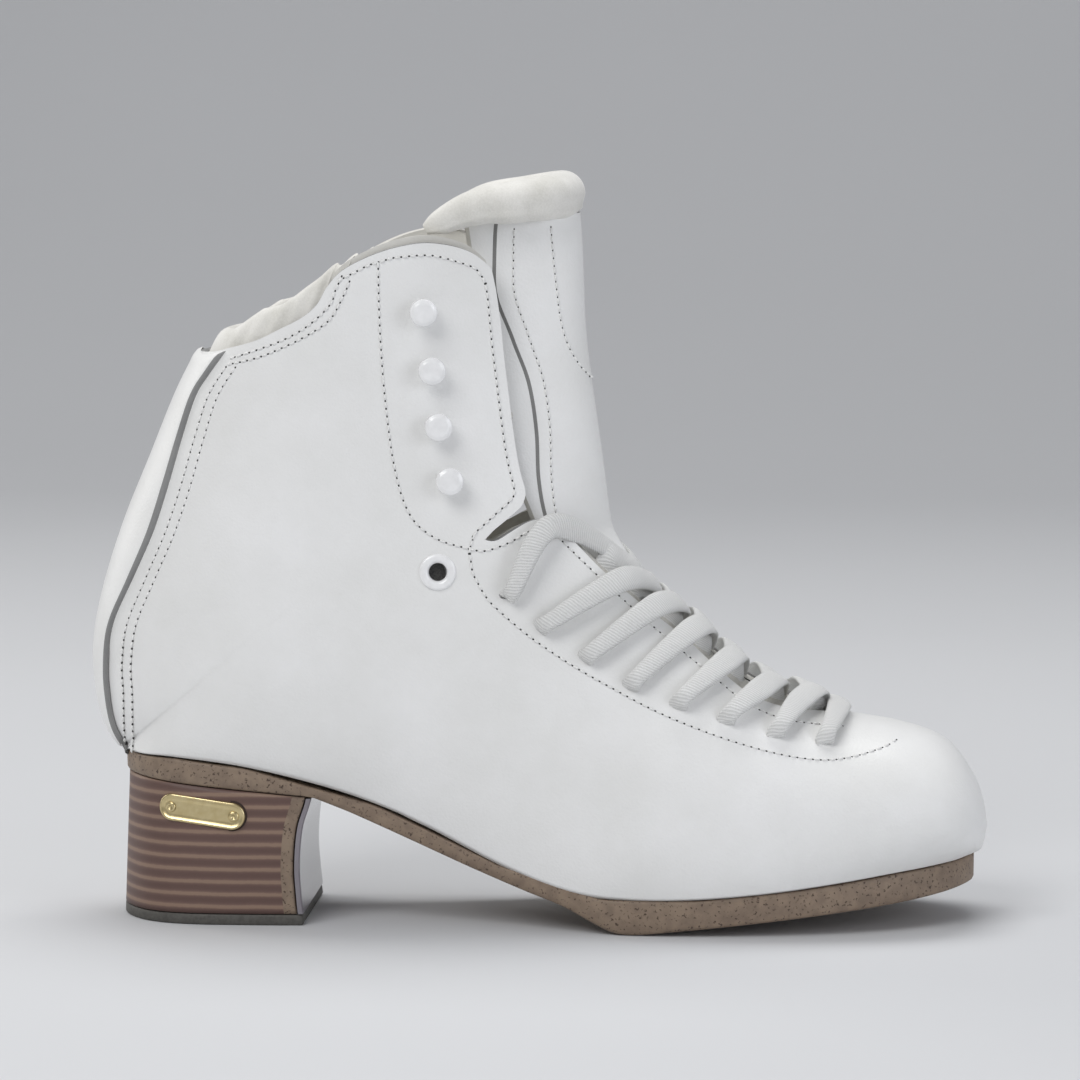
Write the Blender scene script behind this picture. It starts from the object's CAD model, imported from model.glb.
"""White leather figure-skating boot for the right foot, put together the way its maker does:
sole and stacked heel, lasted upper, hook flaps, padded collar and tongue, and the lace."""

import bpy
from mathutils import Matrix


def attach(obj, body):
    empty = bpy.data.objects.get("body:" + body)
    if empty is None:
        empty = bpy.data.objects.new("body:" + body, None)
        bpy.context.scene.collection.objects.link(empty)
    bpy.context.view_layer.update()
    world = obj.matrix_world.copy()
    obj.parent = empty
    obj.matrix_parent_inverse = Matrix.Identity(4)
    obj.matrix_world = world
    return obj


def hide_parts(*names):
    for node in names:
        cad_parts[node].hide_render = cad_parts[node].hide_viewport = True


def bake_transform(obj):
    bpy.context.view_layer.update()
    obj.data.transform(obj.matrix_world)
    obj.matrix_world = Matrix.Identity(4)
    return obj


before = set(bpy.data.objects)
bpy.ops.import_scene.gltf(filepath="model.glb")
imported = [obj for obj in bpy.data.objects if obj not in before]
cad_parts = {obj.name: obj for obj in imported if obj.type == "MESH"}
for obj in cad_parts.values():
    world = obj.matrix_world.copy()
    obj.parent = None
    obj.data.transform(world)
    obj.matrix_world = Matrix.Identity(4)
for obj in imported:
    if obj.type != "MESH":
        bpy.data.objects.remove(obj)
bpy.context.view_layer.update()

import bpy
import numpy as np
from mathutils import Vector
from mathutils.geometry import delaunay_2d_cdt

MM = 0.001

# ---- Camera, floor and lights -----------------------------------------------------------------
# A long lens a step and a half away, square to the outer side of the boot and a little above it.
# The floor is one pale sheet that curves up behind it.
BOOT_MIDDLE = np.array([0.0972, 0.0, 0.11217])
TURN, RISE, DISTANCE, FIELD = np.radians(4), np.radians(6.3), 1.5, 0.3208
towards_camera = np.array([np.sin(TURN) * np.cos(RISE), -np.cos(TURN) * np.cos(RISE), np.sin(RISE)])
camera_data = bpy.data.cameras.new("camera")
camera_data.sensor_width = 36
camera_data.lens = 36 * DISTANCE / FIELD
camera_data.clip_end = 30
camera = bpy.data.objects.new("camera", camera_data)
camera.location = BOOT_MIDDLE + DISTANCE * towards_camera
camera.rotation_euler = Vector(towards_camera).to_track_quat("Z", "Y").to_euler()
bpy.context.collection.objects.link(camera)
bpy.context.scene.camera = camera
bpy.context.scene.view_settings.view_transform = "Standard"


def linear(code):
    """sRGB hex code to linear red, green, blue and alpha."""
    value = np.array([int(code[i:i + 2], 16) for i in (1, 3, 5)]) / 255
    value = np.where(value <= 0.04045, value / 12.92, ((value + 0.055) / 1.055) ** 2.4)
    return (*value, 1.0)


def add(tree, kind, settings=None, stops=(), **inputs):
    """Adds a node with its settings; an input is a value, or an output to link from.

    stops are a colour ramp's places and hex codes."""
    made = tree.nodes.new(kind)
    for name, value in (settings or {}).items():
        setattr(made, name, value)
    for _ in stops[2:]:
        made.color_ramp.elements.new(0.5)
    for number, (place, code) in enumerate(stops):
        made.color_ramp.elements[number].position = place
        made.color_ramp.elements[number].color = linear(code)
    for name, value in inputs.items():
        socket = made.inputs[int(name[1:])] if name[1:].isdigit() else made.inputs[name.replace("_", " ")]
        if isinstance(value, bpy.types.NodeSocket):
            tree.links.new(value, socket)
        else:
            socket.default_value = value
    return made


def new_material(name, **shader):
    """A Principled material; shader gives the sockets that stay the same all over."""
    made = bpy.data.materials.new(name)
    made.use_nodes = True
    bsdf = made.node_tree.nodes["Principled BSDF"]
    for socket, value in shader.items():
        bsdf.inputs[socket.replace("_", " ")].default_value = value
    return made, made.node_tree, bsdf


def mesh_piece(name, points, faces, material, smooth=True, uv=None):
    """Mesh object from arrays of points in millimetres and of faces, at the origin."""
    mesh = bpy.data.meshes.new(name)
    faces = np.asarray(faces)
    count, sides = faces.shape
    mesh.vertices.add(len(points))
    mesh.vertices.foreach_set("co", (np.asarray(points) * MM).astype(np.float32).ravel())
    mesh.loops.add(faces.size)
    mesh.loops.foreach_set("vertex_index", faces.astype(np.int32).ravel())
    mesh.polygons.add(count)
    mesh.polygons.foreach_set("loop_start", np.arange(0, faces.size, sides, dtype=np.int32))
    if uv is not None:
        layer = mesh.uv_layers.new(name="UVMap")
        layer.data.foreach_set("uv", np.asarray(uv, np.float32)[faces.ravel()].ravel())
    mesh.update(calc_edges=True)
    mesh.validate()
    mesh.polygons.foreach_set("use_smooth", np.full(count, smooth))
    for one in (material if isinstance(material, (list, tuple)) else [material]):
        mesh.materials.append(one)
    made = bpy.data.objects.new(name, mesh)
    bpy.context.collection.objects.link(made)
    return made


def grid_faces(rows, columns, around=False, flip=False):
    """Quads of a grid of points listed row by row; around joins the last column to the first."""
    r, c = np.meshgrid(np.arange(rows - 1), np.arange(columns if around else columns - 1), indexing="ij")
    a, b = r * columns + c, r * columns + (c + 1) % columns
    quads = np.stack([a, b, b + columns, a + columns], -1).reshape(-1, 4)
    return quads[:, ::-1] if flip else quads


# Matt studio paper, nearly even in tone.
floor_material, tree, bsdf = new_material("studio_paper", Roughness=0.85)
paper = add(tree, "ShaderNodeTexNoise", Scale=6.0, Detail=3.0)
tree.links.new(add(tree, "ShaderNodeValToRGB", stops=[(0.3, "#D2D3D5"), (0.7, "#D7D8DA")],
                   _0=paper.outputs[0]).outputs[0], bsdf.inputs["Base Color"])
sweep = np.linspace(0, 1, 60)
arc = np.clip((sweep - 0.45) / 0.3, 0, 1) * np.pi / 2
back = np.where(sweep < 0.45, -3000 + sweep / 0.45 * 4200, 1200 + 900 * np.sin(arc))
up = np.where(sweep < 0.45, 0, 900 * (1 - np.cos(arc))) + np.clip(sweep - 0.75, 0, 1) * 14000
across = np.linspace(-4000, 4000, 9)
paper_points = np.stack([
    np.broadcast_to(across, (60, 9)), np.broadcast_to(back[:, None], (60, 9)),
    np.broadcast_to(up[:, None], (60, 9))], -1)
floor = mesh_piece("floor", paper_points.reshape(-1, 3), grid_faces(60, 9), floor_material)

world = bpy.data.worlds.new("studio")
world.use_nodes = True
world.node_tree.nodes["Background"].inputs[0].default_value = linear("#EEEFF2")
world.node_tree.nodes["Background"].inputs[1].default_value = 0.36
bpy.context.scene.world = world


def soft_light(name, place, aim, size, power, code="#FFFFFF"):
    """Rectangular area light at a place, turned to face the point it is aimed at."""
    data = bpy.data.lights.new(name, "AREA")
    data.shape = "RECTANGLE"
    data.size, data.size_y = size
    data.energy = power
    data.color = linear(code)[:3]
    light = bpy.data.objects.new(name, data)
    light.location = place
    light.rotation_euler = (Vector(place) - Vector(aim)).to_track_quat("Z", "Y").to_euler()
    bpy.context.collection.objects.link(light)


soft_light("key", (-0.55, -1.1, 1.25), (0.08, 0, 0.1), (0.9, 0.9), 11.5)
soft_light("fill", (1.3, -0.9, 0.5), (0.1, 0, 0.1), (0.8, 0.8), 5, "#F4F7FF")
soft_light("top", (0.1, 0.35, 1.4), (0.1, 0, 0.1), (0.9, 0.6), 9)
soft_light("back_left", (-1.2, 0.6, 0.6), (0.0, 0, 0.12), (0.5, 0.9), 4, "#FFFDF8")

# ---- The last ---------------------------------------------------------------------------------
# The foot-shaped form that the leather is pulled over. Sections fan from the toe, round the heel
# and up the shaft: front x, z; back x, z; outer and inner half width; middle; widest; squareness.
SECTIONS = np.array([
    [230.3, 28, 230.3, 28, 0, 0, 5, .5, 1], [229.8, 34, 229.7, 23, 9, 16, 5, .5, 1],
    [227.6, 41, 228.2, 19.6, 15, 23, 5, .55, .95], [222.5, 48.8, 224.5, 19.4, 21, 29, 5, .6, .9],
    [215, 54.6, 217, 19, 27, 33.5, 4, .64, .88], [203, 58.4, 203, 17.7, 33, 38.5, 3, .68, .88],
    [188, 61.2, 186, 15.4, 37.5, 42, 2.5, .7, .9], [173, 67.4, 166, 12.8, 40.5, 43, 2, .72, .88],
    [159, 75.6, 146, 11, 41.5, 41.5, 1, .73, .85], [147, 84.4, 127, 10.4, 40.5, 38.5, 0, .72, .82],
    [136, 96.2, 108, 12, 37, 35, -.5, .7, .82], [128.6, 107.8, 87, 19.4, 34, 32, -.5, .66, .82],
    [121.8, 118.4, 63, 31, 32.5, 31, -.5, .62, .8], [115.8, 128, 38, 40.3, 32.5, 31.5, 0, .6, .76],
    [110.6, 137, 12, 46.8, 33, 32.5, 0, .6, .7], [106.8, 145.5, -9, 49.3, 33.2, 33, 0, .62, .66],
    [104.6, 153.6, -21, 49.4, 33.2, 33, 0, .62, .64], [102.8, 162, -27.6, 50.2, 33, 33, 0, .62, .62],
    [102, 171, -32.2, 57, 32.5, 32.5, 0, .6, .62], [101.4, 178, -34.8, 68, 32.2, 32.2, 0, .58, .62],
    [101, 184, -35.2, 81, 31.8, 31.8, 0, .55, .62], [100.6, 190, -32.2, 97, 31.4, 31.4, 0, .52, .62],
    [100.2, 197, -25.8, 117, 31.2, 31.2, 0, .5, .62], [99.8, 204, -18, 136, 31.4, 31.4, 0, .5, .62],
    [99.5, 211, -10.2, 155, 32, 32, 0, .5, .62], [99.2, 219, -2.4, 171, 32.6, 32.6, 0, .5, .62],
    [99, 232, 8, 196, 33, 33, 0, .5, .62]])
LAST = len(SECTIONS) - 1
SOLE_OUTLINE = np.array([
    [-27.2, 0], [-24.6, -12], [-16, -22], [-2, -26.6], [22, -27], [50, -25.6], [80, -28.5], [105, -34],
    [128, -37.4], [150, -38.4], [172, -36.4], [192, -31.4], [208, -23.6], [219, -13.6], [225.5, -2.6],
    [227.2, 6], [225.4, 15], [219, 24.6], [208, 32.4], [192, 38.2], [172, 40.4], [150, 38], [128, 33.6],
    [105, 29], [80, 25.4], [50, 24.6], [22, 26.8], [-2, 26.6], [-16, 22], [-24.6, 12]])
TOE_KNOT = 15


def smooth_step(value):
    """Ease from 0 to 1: three times the square less twice the cube of the value held to 0..1."""
    part = np.clip(value, 0, 1)
    return part * part * (3 - 2 * part)


def through(knots, at, closed=False):
    """Catmull-Rom line through the rows of knots, read at knot numbers: between two knots it is the
    cubic whose slope at each is half the step from the knot before to the knot after."""
    knots = np.asarray(knots, float)
    top = len(knots) if closed else len(knots) - 1
    at = np.mod(at, top) if closed else np.clip(at, 0, top)
    i = np.minimum(at.astype(int), top - 1)
    s = (at - i)[..., None]
    pick = (lambda k: knots[(i + k) % top]) if closed else (lambda k: knots[np.clip(i + k, 0, top)])
    a, b, c, d = pick(-1), pick(0), pick(1), pick(2)
    return 0.5 * (2 * b + (c - a) * s + (2 * a - 5 * b + 4 * c - d) * s**2 + (3 * b - a - 3 * c + d) * s**3)


sole_line = through(SOLE_OUTLINE, np.linspace(0, len(SOLE_OUTLINE), 601), closed=True)
half_way = TOE_KNOT * 20
outer_sole, inner_sole = sole_line[:half_way + 1], sole_line[half_way:][::-1]


def sole_half_width(x, side):
    """Half width of the sole at x, 0 beyond its ends; side is -1 for outer and 1 for inner."""
    outer = np.interp(x, outer_sole[:, 0], -outer_sole[:, 1], left=0, right=0)
    inner = np.interp(x, inner_sole[:, 0], inner_sole[:, 1], left=0, right=0)
    return np.where(side < 0, outer, inner)


def section(u, side, depth):
    """Ends, middle, half width, foot ratio, widest place and squareness of sections sunk by depth."""
    here, ahead, behind = (through(SECTIONS, np.clip(u + k, 0, LAST)) for k in (0, 0.6, -0.6))
    step = ahead - behind

    def sunk(column, turn):
        """Front or back point moved square to its line by the depth."""
        length = np.hypot(step[..., column], step[..., column + 1]) + 1e-9
        into_x = np.where(u < 0.01, -1, turn * step[..., column + 1] / length)
        into_z = np.where(u < 0.01, 0, -turn * step[..., column] / length)
        return here[..., column] + depth * into_x, here[..., column + 1] + depth * into_z

    middle = here[..., 6]
    full = np.maximum(np.where(side < 0, here[..., 4], here[..., 5]) - side * middle, 0)
    foot = np.maximum(sole_half_width(here[..., 2], side) - side * middle, 0) * smooth_step((20 - u) / 2)

    def shrink(width):
        """Half width less the depth, easing to nothing where the section is narrow."""
        thin = depth * np.minimum(width / 5, 1)
        deep = depth * (1 - np.exp(-width / np.where(depth > 0, depth, 1)))
        return width - np.where((depth > 0) & (width > 0), deep, thin)

    half = shrink(full)
    ratio = np.clip(shrink(foot) / np.maximum(half, 1e-6), 0, 0.97) * smooth_step(u - 1)
    return *sunk(0, -1), *sunk(2, 1), middle, half, ratio, here[..., 7], here[..., 8]


def across_section(ratio, widest, box, v):
    """Share of the way back and of the half width, from the front line (0) to the back line (1)."""
    corner = 1 - 0.25 * smooth_step(ratio / 0.3)
    last = np.pi - np.arcsin(ratio)
    angle = last * np.minimum(v / corner, 1)
    wide = np.sin(angle)
    ahead = widest * (1 - np.cos(angle))
    behind = widest + (1 - widest) * np.cos(angle) / np.cos(last)
    front = angle <= np.pi / 2
    share = np.where(front, ahead, behind)
    width = np.where(front, np.abs(wide) ** box, wide)
    under = v > corner
    share = np.where(under, 1, share)
    width = np.where(under, ratio * (1 - (v - corner) / np.maximum(1 - corner, 1e-6)), width)
    return share, width


def on_last(u, turn, depth=0.0):
    """Point of the last: u along the sections, turn from -1 (outer side) through 0 (front) to 1."""
    u, turn, depth = np.broadcast_arrays(*(np.asarray(n, float) for n in (u, turn, depth)))
    side = np.where(turn < 0, -1.0, 1.0)
    front_x, front_z, back_x, back_z, middle, half, ratio, widest, box = section(u, side, depth)
    share, width = across_section(ratio, widest, box, np.abs(turn))
    return np.stack([
        front_x + (back_x - front_x) * share, middle + side * half * width,
        front_z + (back_z - front_z) * share], -1)


def place_of(points):
    """Places (u, v) on the last of side-view points, by halving."""
    x, z = np.asarray(points, float)[..., 0], np.asarray(points, float)[..., 1]

    def off(u):
        """Which side of the section's line from front to back the points lie on."""
        s = through(SECTIONS, u)
        return (s[..., 2] - s[..., 0]) * (z - s[..., 1]) - (s[..., 3] - s[..., 1]) * (x - s[..., 0])

    low, high = np.full(x.shape, 1.5), np.full(x.shape, float(LAST))
    first = off(low)
    for _ in range(36):
        middle = (low + high) / 2
        before = off(middle) * first > 0
        low, high = np.where(before, middle, low), np.where(before, high, middle)
    u = (low + high) / 2
    s = through(SECTIONS, u)
    share = np.hypot(x - s[..., 0], z - s[..., 1]) / np.hypot(s[..., 2] - s[..., 0], s[..., 3] - s[..., 1])
    ratio, widest, box = section(u, np.full(u.shape, -1.0), np.zeros(u.shape))[6:9]
    v0, v1 = np.zeros(x.shape), np.ones(x.shape)
    for _ in range(36):
        middle = (v0 + v1) / 2
        before = across_section(ratio, widest, box, middle)[0] < share
        v0, v1 = np.where(before, middle, v0), np.where(before, v1, middle)
    return u, (v0 + v1) / 2


def outward(u, turn, depth=0.0):
    """Unit normals of the last at places on it, from small steps each way."""
    du, dv = 0.03, 0.004
    along = on_last(u + du, turn, depth) - on_last(np.maximum(u - du, 0), turn, depth)
    across = on_last(u, np.clip(turn + dv, -1, 1), depth) - on_last(u, np.clip(turn - dv, -1, 1), depth)
    normal = np.cross(across, along)
    normal /= np.linalg.norm(normal, axis=-1, keepdims=True) + 1e-12
    here = on_last(u, turn, depth)
    s = through(SECTIONS, np.asarray(u, float))
    core = np.stack([(s[..., 0] + s[..., 2]) / 2, s[..., 6], (s[..., 1] + s[..., 3]) / 2], -1)
    turned = np.sum(normal * (here - core), -1, keepdims=True) < 0
    return np.where(turned, -normal, normal)


def over_side(x, z, side, height=0.0):
    """Points at a height above the leather, over side-view points, and their normals."""
    u, v = place_of(np.stack([np.asarray(x, float), np.asarray(z, float)], -1))
    normal = outward(u, side * v)
    return on_last(u, side * v) + normal * np.asarray(height)[..., None], normal


# ---- Lace -------------------------------------------------------------------------------------
# One flat woven cotton lace, 7.5 mm wide. It comes up through each punched hole, over the edge of
# the facing and under the next one on the other side; both ends lie coiled on the footbed.
LACE_WIDTH, LACE_THICK, LACE_LENGTH = 7.5, 1.9, 2.44
HOLES = np.array([[91, 100.2], [101.6, 91.2], [114.5, 82.4], [127.4, 74.6], [140.9, 68.8], [154.3, 63.8],
                  [168.4, 59.4], [182.4, 57]])
SLOT_END, SLOT_FOOT = [83, 115.2], [184, 62.4]
FACING_EDGE = np.array([
    SLOT_END, [86.4, 115], [90.5, 117.4], [95.4, 120.2], [99.4, 121], [103, 119.6], [108.6, 114.4],
    [117.2, 105.6], [128, 96], [141, 85.6], [151, 76.6], [160.5, 69.4], [170, 65.4], [178, 63.6], SLOT_FOOT])
OVER, UNDER, CROSSING, RIDGE_OVER = 3.6, -7.0, 2.9, 2.4
CROSSING_X = [120.6, 127, 135.5, 144, 153.5, 165.5, 178]


def smooth_line(knots, count):
    """Line through knots with count points, evenly spaced by knot."""
    return through(knots, np.linspace(0, len(knots) - 1, count))


facing = smooth_line(FACING_EDGE, 240)


def facing_at(x):
    """Point of the facing's edge at an x in front of its upper corner."""
    ahead = facing[90:]
    return np.array([x, np.interp(x, ahead[:, 0], ahead[:, 1])])


def edge_place(row, crossing):
    """Place on the last where a strand passes the facing's edge."""
    near = facing[np.argmin(np.hypot(*(facing - HOLES[row]).T))][0]
    return place_of(facing_at(min(near + 0.45 * (crossing - near), SLOT_FOOT[0] - 1.5)))


def above(u, turn, height):
    """Point of the last moved out along its normal by a height, and that normal."""
    normal = outward(u, turn)
    return on_last(u, turn) + normal * height, normal


def hole(row, side, height):
    """Point at a height over the middle of a lace hole, and the normal there."""
    return over_side(*HOLES[row], side, height)


def ridge(x, height):
    """Middle of the opening, level with the facing's edges, raised by a height."""
    edge = facing_at(x) if x < SLOT_FOOT[0] else np.array([x, SLOT_FOOT[1] - 0.4])
    u = place_of(edge)[0]
    step = through(SECTIONS, u + 0.6) - through(SECTIONS, u - 0.6)
    out = np.array([step[1], 0, -step[0]]) / np.hypot(step[0], step[1])
    out *= np.sign(out[2])
    return np.array([edge[0], 0, edge[1]]) + out * height, out


def strand(row, side, lift):
    """Points and normals of one strand, from above its hole to under the next hole across."""
    u0, v0 = edge_place(row, CROSSING_X[row])
    u1, v1 = edge_place(row + 1, CROSSING_X[row])
    return [hole(row, side, OVER), above(u0, side * v0, OVER), ridge(CROSSING_X[row], RIDGE_OVER + lift),
            above(u1, -side * v1 * 0.6, -4.6), above(u1, -side * v1 * 1.08, UNDER),
            hole(row + 1, -side, UNDER - 0.6)]


footbed_knots = np.array([2, 3.3, 5, 6.5, 8, 9.5, 11, 12.5, 14, 15, 16, 17])


def sole_level(depth, knots=footbed_knots):
    """Side view of the last's sole line sunk by a depth, from the toe back to the heel."""
    here, ahead, behind = (through(SECTIONS, knots + k) for k in (0, 0.6, -0.6))
    step = (ahead - behind)[:, 2:4]
    square = np.stack([step[:, 1], -step[:, 0]], -1) / np.hypot(*step.T)[:, None]
    square[[0, -1]] = [0, 1]
    line = here[:, 2:4] + depth * square
    return np.vstack([[line[0] + [12, 1]], line, [line[-1] - [12, 0]]])


LEATHER, BOARD, GAP, FELT = 2.2, 2.5, 0.3, 4
FOOTBED_TOP = BOARD + LEATHER + GAP + FELT
COIL_FROM, COIL_TO, COIL_HEIGHT, COIL_LIFT = 96.0, 204.0, 13.0, 0.4
footbed_line = sole_level(FOOTBED_TOP)[::-1]


def coil_base(x):
    """Height of the underside of the coils at an x: the footbed's line and a small lift."""
    return np.interp(x, footbed_line[:, 0], footbed_line[:, 1]) + COIL_LIFT


def coiled_end(side):
    """Two turns of a long flat coil standing on the footbed, then the last stretch on top of it."""
    rise, bend = COIL_HEIGHT - LACE_THICK, (COIL_HEIGHT - LACE_THICK) / 2
    low, high = COIL_FROM + COIL_HEIGHT / 2, COIL_TO - COIL_HEIGHT / 2
    points, normals = [], []

    def run(x0, x1, y0, y1, top, count=11):
        """Straight stretch between two x, drifting from one y to the other, above or below."""
        for x, y in zip(np.linspace(x0, x1, count),
                        y0 + (y1 - y0) * smooth_step(np.linspace(0, 1, count) * 1.6)):
            points.append([x, side * y, coil_base(x) + LACE_THICK / 2 + (rise if top else 0)])
            normals.append([0, 0, 1 if top else -1])

    def turn(x, y, from_angle):
        """Half circle down or up at one end of the coil."""
        for angle in from_angle - np.linspace(0, np.pi, 9)[1:-1]:
            points.append([x + bend * np.cos(angle), side * y,
                           coil_base(x) + LACE_THICK / 2 + bend * (1 + np.sin(angle))])
            normals.append([np.cos(angle), 0, np.sin(angle)])

    run(112, high, 12.4, 15.7, True)
    turn(high, 15.7, np.pi / 2)
    run(high, low, 15.7, 15.7, False)
    turn(low, 15.7, -np.pi / 2)
    run(low, high, 15.7, 7.3, True)
    turn(high, 7.3, np.pi / 2)
    run(high, low, 7.3, 7.3, False)
    turn(low, 7.3, -np.pi / 2)
    run(low, 112, 7.3, 7.6, True, 3)
    for x, y, over in ((120, 8.6, 1.2), (128, 10.8, 2.3), (135, 13, 2.4), (140, 14, 2.2)):
        points.append([x, side * y, coil_base(x) + COIL_HEIGHT + over])
        normals.append([0, 0, 1])
    return list(zip(map(np.array, points), map(np.array, normals)))


TAIL = [[88.6, 20.6, 88], [86.5, 19, 78], [87, 17, 68], [91, 14.4, 59], [97, 12, 52], [102, 11.5, 46]]
TAIL_FACING = [[0.2, 0.9, 0.3], [-0.3, 0.9, 0.2], [-0.6, 0.7, -0.2], [-0.8, 0.4, -0.4], [-0.7, 0.2, -0.6],
               [-0.4, 0.1, 0.8]]


def tail(side):
    """From under the top hole down beside the ankle to the footbed, then into the coil."""
    flip = np.array([1, side, 1])
    down = [(np.array(p) * flip, np.array(n) * flip) for p, n in zip(TAIL, TAIL_FACING)]
    return down + coiled_end(side)


LAST_ROW = len(HOLES) - 1
from_outer, from_inner = [], []
for row in range(LAST_ROW):
    even = row % 2 == 0
    from_outer += strand(row, -1 if even else 1, CROSSING if even else 0)
    from_inner += strand(row, 1 if even else -1, 0 if even else CROSSING)
route = (tail(-1)[::-1] + [hole(0, -1, UNDER - 0.6)] + from_outer
         + [hole(LAST_ROW, 1, OVER), ridge(185.6, RIDGE_OVER), hole(LAST_ROW, -1, OVER)]
         + from_inner[::-1] + [hole(0, 1, UNDER - 0.6)] + tail(1))
route_points = np.array([np.ravel(p) for p, _ in route])
route_normals = np.array([np.ravel(n) for _, n in route])
for i in range(1, len(route_normals)):
    if route_normals[i] @ route_normals[i - 1] < -0.55:
        route_normals[i] = -route_normals[i]


def ribbon(points, normals, width, thick, step=1.5, sides=12):
    """Flat band with rounded edges swept along a line; returns points, faces, uv and the line."""
    dense = np.linspace(0, len(points) - 1, 12 * len(points))
    line = through(points, dense)
    run = np.concatenate([[0], np.cumsum(np.linalg.norm(np.diff(line, axis=0), axis=1))])
    even = np.interp(np.linspace(0, run[-1], int(run[-1] / step)), run, dense)
    line = through(points, even)
    up = through(normals, even)
    ahead = np.gradient(line, axis=0)
    ahead /= np.linalg.norm(ahead, axis=1, keepdims=True)
    up -= ahead * np.sum(up * ahead, 1, keepdims=True)
    up /= np.linalg.norm(up, axis=1, keepdims=True) + 1e-9
    wide = np.cross(ahead, up)
    angle = np.arange(sides) * 2 * np.pi / sides
    cos, sin = np.cos(angle), np.sin(angle)
    flat = np.sign(cos) * np.abs(cos) ** 0.8, np.sign(sin) * np.abs(sin) ** 0.9
    w, t = (np.interp(even, np.arange(len(points)),
                      n) if np.ndim(n) else np.full(len(even), n) for n in (width, thick))
    ring = line[:, None] + wide[:, None] * (w[:, None] / 2 * flat[0])[..., None] \
        + up[:, None] * (t[:, None] / 2 * flat[1])[..., None]
    faces = grid_faces(len(line), sides, around=True)
    uv = np.stack(np.broadcast_arrays(angle[None] / (2 * np.pi), (np.arange(len(line)) * step)[:, None]), -1)
    return ring.reshape(-1, 3), faces, uv.reshape(-1, 2), line


def capped(points, faces, sides):
    """Adds a middle point to each end ring and closes it with thin quads."""
    count = len(points)
    first, last = points[:sides].mean(0), points[-sides:].mean(0)
    k = np.arange(0, sides, 2)
    low = np.stack([np.full(len(k), count), (k + 2) % sides, k + 1, k], -1)
    high = np.stack([np.full(len(k), count + 1), count - sides + k, count - sides + k + 1,
                     count - sides + (k + 2) % sides], -1)
    return np.vstack([points, first, last]), np.vstack([faces, low, high])


# Bleached woven cotton: matt and soft, with diagonal ribs and a haze of loose fibre.
cotton, tree, bsdf = new_material("woven_cotton", Roughness=0.82, Sheen_Weight=0.25, Sheen_Roughness=0.5)
place = add(tree, "ShaderNodeUVMap", {"uv_map": "UVMap"})
herring = add(tree, "ShaderNodeMapping", Vector=place.outputs[0], Scale=(5.0, 0.7, 1.0))
weave = add(tree, "ShaderNodeTexWave", {"wave_type": "BANDS", "bands_direction": "DIAGONAL"},
            Vector=herring.outputs[0], Scale=1.0, Distortion=0.6, Detail=1.0)
fibre = add(tree, "ShaderNodeTexNoise", Scale=900.0, Detail=3.0)
both = add(tree, "ShaderNodeMath", {"operation": "MULTIPLY_ADD"}, _0=weave.outputs[1], _1=0.6,
           _2=fibre.outputs[0])
tree.links.new(add(tree, "ShaderNodeValToRGB", stops=[(0.25, "#D9D9D6"), (0.75, "#F6F6F4"), (1.0, "#FCFCFA")],
                   _0=both.outputs[0]).outputs[0], bsdf.inputs["Base Color"])
bump = add(tree, "ShaderNodeBump", Strength=0.7, Distance=0.0006, Height=both.outputs[0])
tree.links.new(bump.outputs[0], bsdf.inputs["Normal"])

# The lace bunches up where it goes through a hole and lies flat between.
centres = np.array([np.ravel(hole(row, side, 0)[0]) for row in range(8) for side in (-1, 1)])
near_hole = np.min(np.linalg.norm(route_points[:, None] - centres[None], axis=2), axis=1)
squeeze = 1 - smooth_step((near_hole - 1.5) / 5.5)
lace_points, lace_faces, lace_uv, lace_line = ribbon(
    route_points, route_normals, LACE_WIDTH - 3.9 * squeeze, LACE_THICK + 1.1 * squeeze)
lace_points, lace_faces = capped(lace_points, lace_faces, 12)
lace_uv = np.vstack([lace_uv, lace_uv[:1], lace_uv[-1:]])
lace = mesh_piece("laced_cord", lace_points, lace_faces, cotton, uv=lace_uv)

# Clear plastic film shrunk round the end of the lace: hard, smooth and a little cloudy.
tip_plastic, tree, bsdf = new_material("clear_tip_plastic", Roughness=0.18, IOR=1.5, Coat_Weight=0.4)
haze = add(tree, "ShaderNodeTexNoise", Scale=260.0, Detail=2.0)
tree.links.new(add(tree, "ShaderNodeValToRGB", stops=[(0.3, "#DFE0DE"), (0.8, "#F2F2F0")],
                   _0=haze.outputs[0]).outputs[0], bsdf.inputs["Base Color"])
for name, side in (("outer", -1), ("inner", 1)):
    along = np.array([0, 0.15, 0.5, 1.2, 6, 12, 18, 19, 19.6, 19.9])
    radius = np.array([0.2, 1.2, 1.5, 1.6, 1.6, 1.56, 1.6, 1.5, 1.2, 0.2])
    angle = np.linspace(0, 2 * np.pi, 20, endpoint=False)
    height = max(coil_base(140.0), coil_base(160.0)) + COIL_HEIGHT + 2.0
    tube = np.stack(np.broadcast_arrays(140 + along[:, None], side * 14 + radius[:, None] * np.cos(angle),
                                        height + radius[:, None] * np.sin(angle)), -1)
    tube_points, tube_faces = capped(tube.reshape(-1, 3), grid_faces(len(along), 20, around=True,
                                                                     flip=True)[:, ::-1], 20)
    tip = mesh_piece(f"lace_tip_{name}", tube_points, tube_faces, tip_plastic)
    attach(tip, "boot")
    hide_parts(f"lace_aglet_{name}")
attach(lace, "boot")
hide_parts("lace", "lace_coil_outer", "lace_coil_inner")

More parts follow.
